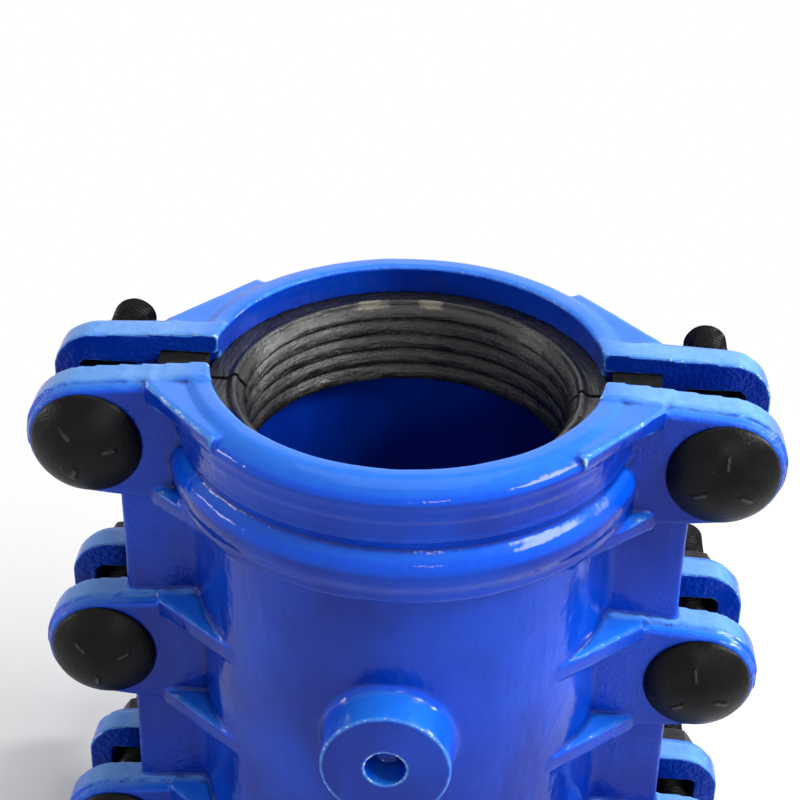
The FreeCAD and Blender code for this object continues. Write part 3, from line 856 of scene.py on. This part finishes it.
@dataclass(frozen=True)
class SealStrip:
    """Rubber bar that seals the mating faces beside the pipe, with two beads along its face."""

    half: Half
    side: Side
    inner: float = 70.1
    outer: float = 86.6
    floor: float = 12.9
    face: float = 1.8
    corner: float = 1.4
    bead: float = 0.8
    bead_spread: float = 1.3
    bead_zone: float = 0.4
    half_length: float = 107.8
    step: float = 0.5
    stations: int = 110
    sway_grain: float = 7.0
    sway: float = 0.18
    sway_ramp: Span = (2.3, 4.0)
    trim_grain: float = 4.0
    trim_zone: float = 0.5
    sharp: float = 50.0

    def section(self) -> Array:
        """Outline of the bar in X and Y: a rounded rectangle whose face carries two half-round beads."""
        corners = [(self.inner, self.face), (self.outer, self.face), (self.outer, self.floor), (self.inner, self.floor)]
        outline = evenly(rounded(np.array(corners), self.corner), self.step)
        third = (self.outer - self.inner) / 3
        for middle in (self.inner + third, self.outer - third):
            across = (outline[:, 0] - middle) / (self.bead_spread * self.bead)
            swell = np.sqrt(np.clip(1 - across**2, 0.0, 1.0))
            outline[:, 1] -= np.where(outline[:, 1] < self.face + self.bead_zone, self.bead * swell, 0.0)
        return outline

    def build(self, material: Material) -> Object:
        """Carries the section along the strip, with an uneven, hand-trimmed end."""
        section = self.section()
        height = np.linspace(-self.half_length, self.half_length, self.stations)
        x = np.broadcast_to(section[:, 0], (self.stations, len(section)))
        y = np.broadcast_to(section[:, 1], x.shape)
        z = np.broadcast_to(height[:, None], x.shape)
        flat = np.stack([x * self.side.value, y * self.half.value, z], axis=-1).reshape(-1, 3)
        seed = STRIP_SEED + 2 * self.side.value + self.half.value
        inward = ramp(flat[:, 1] * self.half.value, *self.sway_ramp)
        flat[:, 0] += self.sway * lumps(flat, self.sway_grain, seed) * inward
        trim = 0.5 * (1 + lumps(flat * np.array([1.0, 1.0, 0.0]), self.trim_grain, seed + 5))
        at_end = np.abs(flat[:, 2]) > self.half_length - self.trim_zone
        flat[:, 2] -= np.sign(flat[:, 2]) * trim * at_end
        name = f"{self.half.word}_seal_strip_{self.side.word}"
        piece = new_mesh(f"{name}_rubber", flat, grid_faces(self.stations, len(section), closed=False), self.sharp)
        paint(piece, PIT, np.zeros(len(flat)))
        dress(piece, self.half.body, material, name)
        return piece


# Fasteners


@dataclass(frozen=True)
class Turned:
    """A piece that is turned about one bolt's axis, which runs along +Y."""

    side: Side
    row: Row
    offset: float = 107.0

    def node(self, kind: str) -> str:
        """Name of the CAD node of this kind on the axis."""
        return f"{kind}_{self.side.word}_{self.row.word}"

    def turned(self, node: str, radius: Array, along: Array, angle: Array, sharp: float, closed: bool) -> Object:
        """Mesh of rings about the axis, by their distance from it and place along it, one row per ring."""
        x = self.side.value * self.offset + radius * np.cos(angle)
        z = self.row.value + radius * np.sin(angle)
        points = np.stack([x, along, z], axis=-1).reshape(-1, 3)
        return new_mesh(f"{node}_steel", points, grid_faces(len(radius), len(angle), closed), sharp)


@dataclass(frozen=True)
class CupBolt(Turned):
    """Cup-head bolt with a square neck and a thread down to its point."""

    seat: float = -23.2
    head_radius: float = 19.0
    head_height: float = 8.8
    head_rim: float = 0.9
    dome_runs: tuple[tuple[float, float, int], ...] = ((0.7, 12.0, 22), (12.6, 18.65, 9))
    rim_rings: tuple[Span, ...] = ((19.0, -0.62), (19.0, -0.25), (18.8, -0.02), (18.2, 0.0), (14.0, 0.0))
    dash_rise: float = 0.6
    dash_middle: float = 9.0
    dash_width_ramp: Span = (1.0, -0.5)
    dash_length_ramp: Span = (3.0, -1.0)
    dash_turn: Span = (0.7, 0.021)
    neck: float = 8.0
    neck_length: float = 12.0
    neck_rings: tuple[float, ...] = (0.0, 0.3, 4.0, 8.0, 11.2)
    neck_swell: float = 1.2
    neck_run: float = 0.9
    squareness: int = 10
    shank: float = 8.0
    length: float = 90.0
    thread_start: float = 1.2
    thread_depth: float = 1.15
    thread_ease: float = 0.2
    thread_end: float = 0.3
    crest_slope: float = 2.4
    crest_floor: float = 0.1
    pitch: float = 2.0
    point: float = 1.8
    point_inset: float = 0.6
    tail_share: float = 0.86
    tail_middle: float = 0.8
    columns: int = 96
    rows_per_turn: int = 8
    under_head: float = -2.0
    sharp: float = 42.0

    def dash_height(self, rho: Array, angle: Array) -> Array:
        """Height of three short raised dashes on the dome, one every third of a turn."""
        turned = self.side.value * self.dash_turn[0] + self.row.value * self.dash_turn[1]
        folded = (angle - turned) % (TURN / 3) - TURN / 6
        wide = ramp(np.abs(rho * np.sin(folded)), *self.dash_width_ramp)
        long = ramp(np.abs(rho - self.dash_middle), *self.dash_length_ramp)
        return self.dash_rise * wide * long

    def head(self, angle: Array) -> tuple[Array, Array]:
        """Radius and place of the head's rings: part of a sphere with the dashes on it, then rim and underside."""
        cap = self.head_height - self.head_rim
        sphere = (self.head_radius**2 + cap**2) / (2 * cap)
        rho = np.concatenate([np.linspace(*run) for run in self.dome_runs])[:, None] * np.ones_like(angle)
        dome = sphere - np.sqrt(sphere**2 - rho**2) - self.head_height - self.dash_height(rho, angle)
        rim = np.array(self.rim_rings)[:, :, None] * np.ones_like(angle)
        return np.vstack([rho, rim[:, 0]]), np.vstack([dome, rim[:, 1]])

    def square_neck(self, angle: Array) -> tuple[Array, Array]:
        """Radius and place of the neck's rings, the curve |x|^n + |z|^n = side^n, and of its run into the shank."""
        power = self.squareness
        square = self.neck / (np.abs(np.cos(angle)) ** power + np.abs(np.sin(angle)) ** power) ** (1 / power)
        run = [np.minimum(square, limit) for limit in (self.shank + self.neck_swell, self.shank - self.thread_ease)]
        along = np.array([*self.neck_rings, self.neck_length, self.neck_length + self.neck_run])
        return np.stack([square] * len(self.neck_rings) + run), along[:, None] * np.ones_like(angle)

    def thread(self, angle: Array) -> tuple[Array, Array]:
        """Radius and place of the thread's rings: the shank's radius less depth times a softened triangle wave of
        the phase y / pitch + angle / turn, run out at the neck and turned down at the point.
        """
        flat = np.ones_like(angle)
        start = self.neck_length + self.thread_start
        count = int((self.length - self.point - start) / self.pitch * self.rows_per_turn)
        along = np.linspace(start, self.length - self.thread_end, count)[:, None] * flat
        phase = (along / self.pitch + angle / TURN) % 1.0
        wave = np.clip(self.crest_slope * np.abs(phase - 0.5) - self.crest_floor, 0.0, 1.0)
        fade = ramp(along, start, self.pitch)
        radius = self.shank - self.thread_depth * (1.0 - wave * fade) + (1 - fade) * self.thread_ease
        root = self.shank - self.thread_depth
        lowest = root - self.point_inset
        radius = np.minimum(radius, lowest + (self.shank - lowest) * ramp(along, self.length, -self.point))
        tail = np.array([root * self.tail_share, self.tail_middle])[:, None] * flat
        return np.vstack([radius, tail]), np.vstack([along, self.length * np.ones_like(tail)])

    def build(self, material: Material) -> Object:
        """Turns the rings of the head, the neck and the thread about the bolt's own axis."""
        angle = full_turn(self.columns)
        parts = [self.head(angle), self.square_neck(angle), self.thread(angle)]
        radius, along = (np.vstack([part[k] for part in parts]) for k in range(2))
        node = self.node("bolt")
        piece = self.turned(node, radius, self.seat + along, angle, self.sharp, closed=False)
        raised = self.dash_height(radius, np.broadcast_to(angle, radius.shape)) * (along < self.under_head)
        paint(piece, EDGE, (raised / self.dash_rise).ravel())
        dress(piece, Half.FRONT.body, material, node)
        return piece


@dataclass(frozen=True)
class PlainWasher(Turned):
    """Flat washer between the nut and the back half's ear."""

    start: float = 23.2
    thickness: float = 4.0
    inner: float = 8.75
    outer: float = 18.0
    corner: float = 0.6
    corner_steps: int = 4
    columns: int = 72
    sharp: float = 40.0

    def build(self, material: Material) -> Object:
        """Turns a rounded rectangle."""
        low, high = self.start, self.start + self.thickness
        corners = [(self.inner, low), (self.outer, low), (self.outer, high), (self.inner, high)]
        outline = rounded(np.array(corners), self.corner, self.corner_steps)
        angle = full_turn(self.columns)
        radius, along = (outline[:, k, None] * np.ones_like(angle) for k in range(2))
        node = self.node("washer")
        piece = self.turned(node, radius, along, angle, self.sharp, closed=True)
        dress(piece, Half.BACK.body, material, node)
        return piece


@dataclass(frozen=True)
class HexNut(Turned):
    """Hexagon nut with chamfered corners and a countersunk bore."""

    seat: float = 27.4
    height: float = 13.0
    flat_radius: float = 12.0
    corner_cut: float = 0.12
    chamfer_start: float = 0.15
    chamfer_angle: float = 30.0
    chamfer_rings: tuple[float, ...] = (0.0, 0.2, 0.4, 0.6, 0.8, 1.0, 1.2, 3.5)
    bore: float = 8.06
    sink: float = 8.9
    sink_width: float = 0.3
    sink_step: float = 0.15
    sink_depth: float = 1.0
    columns: int = 96
    sharp: float = 32.0

    def build(self, material: Material) -> Object:
        """The side's radius is the smaller of the hexagon, flat / cos of the angle from the nearest flat, and
        the cone that rises from each end face at the chamfer's angle. Two corners point along X.
        """
        angle = full_turn(self.columns)
        flat = np.ones_like(angle)
        hexagon = self.flat_radius / np.cos((angle % (TURN / 6)) - TURN / 12)
        hexagon = np.minimum(hexagon, self.flat_radius / math.cos(TURN / 12) - self.corner_cut)
        rise = np.array(self.chamfer_rings)
        depth = np.concatenate([rise, self.height - rise[::-1]])
        from_end = np.minimum(depth, self.height - depth)[:, None]
        cone = self.flat_radius - self.chamfer_start + from_end / math.tan(math.radians(self.chamfer_angle))
        sink = ((self.sink + self.sink_width, 0.0), (self.sink, self.sink_step), (self.bore, self.sink_depth))
        inner = [(radius, self.height - step) for radius, step in sink] + [(self.bore, self.height / 2), *sink[::-1]]
        inner = np.array(inner)
        radius = np.vstack([np.minimum(hexagon, cone), inner[:, :1] * flat])
        along = self.seat + np.vstack([depth[:, None] * flat, inner[:, 1:] * flat])
        node = self.node("nut")
        piece = self.turned(node, radius, along, angle, self.sharp, closed=True)
        dress(piece, node, material, node)
        return piece


# Studio


@dataclass(frozen=True)
class Lamp:
    """One soft rectangular lamp: its place and aim in metres, its width and height, and its power in watts."""

    name: str
    place: Point
    size: Span
    power: float
    aim: Point = ORIGIN

    def hang(self) -> None:
        """Adds the lamp to the scene."""
        data = bpy.data.lights.new(self.name, "AREA")
        data.shape = "RECTANGLE"
        data.size, data.size_y = self.size
        data.energy = self.power
        lamp = placed(self.name, data)
        lamp.location = self.place
        lamp.rotation_euler = (Vector(self.aim) - Vector(self.place)).to_track_quat("-Z", "Y").to_euler()


@dataclass(frozen=True)
class Studio:
    """Camera, lamps and floor."""

    camera_place: Point = (0.0292, -0.5451, 0.4343)
    yaw: float = -3.33
    pitch: float = 31.62
    roll: float = 1.09
    focal_pixels: float = 1865.1
    image_pixels: float = 800.0
    sensor: float = 36.0
    clip: Span = (0.01, 50.0)
    lamps: tuple[Lamp, ...] = (
        Lamp("back_panel", (0.25, 1.15, 0.75), (1.5, 0.6), 2.5),
        Lamp("overhead", (0.0, 0.10, 1.30), (0.9, 0.9), 3.5),
        Lamp("key", (0.88, -0.20, 0.80), (0.55, 0.34), 12.5),
        Lamp("right_panel", (1.02, 0.42, 0.44), (0.22, 0.22), 9.0, (-0.05, 0.0, 0.1)),
        Lamp("left_panel", (-1.05, -0.05, 0.28), (0.45, 0.14), 3.0, (0.0, 0.0, 0.1)),
        Lamp("front_panel", (0.31, -1.05, 0.62), (0.18, 0.18), 1.5),
    )
    surroundings: float = 0.16
    floor_height: float = -0.1152
    floor_reach: float = 6.0

    def camera(self) -> None:
        """Points the camera: forward from yaw and pitch, then turned about itself by roll."""
        yaw, pitch, roll = (math.radians(v) for v in (self.yaw, self.pitch, self.roll))
        forward = Vector((math.sin(yaw) * math.cos(pitch), math.cos(yaw) * math.cos(pitch), -math.sin(pitch)))
        level = Vector((math.cos(yaw), -math.sin(yaw), 0.0))
        upright = level.cross(forward)
        right = math.cos(roll) * level + math.sin(roll) * upright
        up = math.cos(roll) * upright - math.sin(roll) * level
        data = bpy.data.cameras.new("photo_camera")
        data.sensor_width = self.sensor
        data.lens = self.sensor * self.focal_pixels / self.image_pixels
        data.clip_start, data.clip_end = self.clip
        camera = placed("photo_camera", data)
        turn = Matrix((right, up, -forward)).transposed().to_4x4()
        camera.matrix_world = Matrix.Translation(Vector(self.camera_place)) @ turn
        bpy.context.scene.camera = camera

    def world(self) -> None:
        """Plain even surroundings, white where the camera or a reflection looks straight at them."""
        world = bpy.data.worlds.new("surroundings")
        bpy.context.scene.world = world
        world.use_nodes = True
        tree = world.node_tree
        background = tree.nodes["Background"]
        background.inputs["Color"].default_value = WHITE
        strength = tree.nodes.new("ShaderNodeMapRange")
        strength.inputs["To Min"].default_value = self.surroundings
        strength.inputs["To Max"].default_value = 1.0
        tree.links.new(looked_at(tree), strength.inputs["Value"])
        tree.links.new(strength.outputs[0], background.inputs["Strength"])

    def floor(self) -> None:
        """One wide flat sheet under the sleeve's lower rim."""
        reach = self.floor_reach
        corners = [(-reach, -reach), (reach, -reach), (reach, reach), (-reach, reach)]
        mesh = bpy.data.meshes.new("floor")
        mesh.from_pydata([(x, y, self.floor_height) for x, y in corners], [], [(0, 1, 2, 3)])
        mesh.materials.append(Paper().material())
        placed("floor", mesh)

    def build(self) -> None:
        """Sets up everything that isn't part of the object."""
        self.camera()
        for lamp in self.lamps:
            lamp.hang()
        self.world()
        self.floor()
        bpy.context.scene.view_settings.view_transform = "Standard"


@dataclass(frozen=True)
class Clamp:
    """The whole sleeve, in the order that its pieces are made."""

    def build(self) -> list[Object]:
        """Makes every piece and returns them."""
        enamel, ring_rubber, strip_rubber = Enamel().material(), Rubber().material(), STRIP_RUBBER.material()
        bolt_steel, nut_steel = BlackOxide().material(), DULL_OXIDE.material()
        made = []
        for half in Half:
            made.append(Casting(half).build(enamel))
            for upper in (True, False):
                made.append(EndGasket(half, upper).build(ring_rubber))
            for side in Side:
                made.append(SealStrip(half, side).build(strip_rubber))
        for side in Side:
            for row in Row:
                made.append(CupBolt(side, row).build(bolt_steel))
                made.append(PlainWasher(side, row).build(nut_steel))
                made.append(HexNut(side, row).build(nut_steel))
        return made


def main() -> None:
    """Builds the studio and the clamp."""
    logging.basicConfig(level=logging.INFO, format="%(name)s: %(message)s")
    Studio().build()
    pieces = Clamp().build()
    log.info("%d pieces", len(pieces))


if __name__ == "__main__":
    main()
